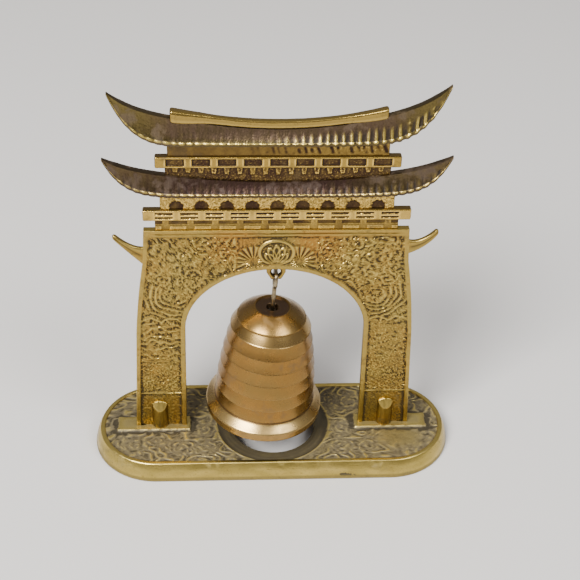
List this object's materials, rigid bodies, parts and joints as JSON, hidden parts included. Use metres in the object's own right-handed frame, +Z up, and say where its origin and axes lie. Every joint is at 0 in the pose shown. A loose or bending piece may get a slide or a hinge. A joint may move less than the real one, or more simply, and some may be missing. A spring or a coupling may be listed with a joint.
{
  "type": "temple bell",
  "caption": "Table-top brass temple bell: a turned bell with a clapper hangs from a bent wire in a cast arched gate with tiered upturned roofs, on an oval pierced base.",
  "frame": {"origin": "centre of the base's footprint, on the surface that it rests on", "axes": "+Z up, +X to the right seen from the front, +Y to the back"},
  "size_m": [0.14, 0.05, 0.156],
  "materials": {
    "base_brass": "aged cast brass, dark patterned field, polished rim and sloped wall",
    "gate_brass": "aged cast brass, bright on the high spots and dark in the hollows",
    "roof_brass": "red-brown patina with rubbed brass edges",
    "ridge_brass": "smooth rubbed brass",
    "bell_brass": "turned and lacquered, worn warm gold",
    "clapper_brass": "turned, dull",
    "wire_steel": "dull drawn wire, slightly browned",
    "fastener_steel": "plain zinc-grey steel"
  },
  "bodies": {
    "stand": {"base_casting": "base_brass", "left_leg_screw": "fastener_steel", "right_leg_screw": "fastener_steel", "left_leg_washer": "fastener_steel", "right_leg_washer": "fastener_steel", "gate_arch": "gate_brass", "lower_frieze": "gate_brass", "lower_roof": "roof_brass", "upper_frieze": "gate_brass", "upper_roof": "roof_brass", "ridge_cap": "ridge_brass"},
    "hanger": {"hanger_hook": "wire_steel"},
    "washer": {"crown_washer": "wire_steel"},
    "bell_body": {"bell": "bell_brass"},
    "clapper": {"clapper_rod": "wire_steel", "clapper_ball": "clapper_brass"}
  },
  "joints": [
    {"name": "hanger_swing", "type": "hinge", "parent": "stand", "child": "hanger", "pos_m": [0, 0, 0.0805], "axis": [0, 1, 0], "range_deg": [-13.6, 6.4]},
    {"name": "bell_rock", "type": "hinge", "parent": "hanger", "child": "washer", "pos_m": [-0.00123, 0, 0.06094], "axis": [0.998, 0, -0.0628], "range_deg": [-9, 9]},
    {"name": "bell_spin", "type": "hinge", "parent": "washer", "child": "bell_body", "pos_m": [-0.00123, 0, 0.06094], "axis": [0.0628, 0, 0.998], "continuous": true},
    {"name": "clapper_swing", "type": "hinge", "parent": "hanger", "child": "clapper", "pos_m": [-0.00151, 0, 0.05655], "axis": [0.998, 0, -0.0628], "range_deg": [-16, 16]}
  ]
}
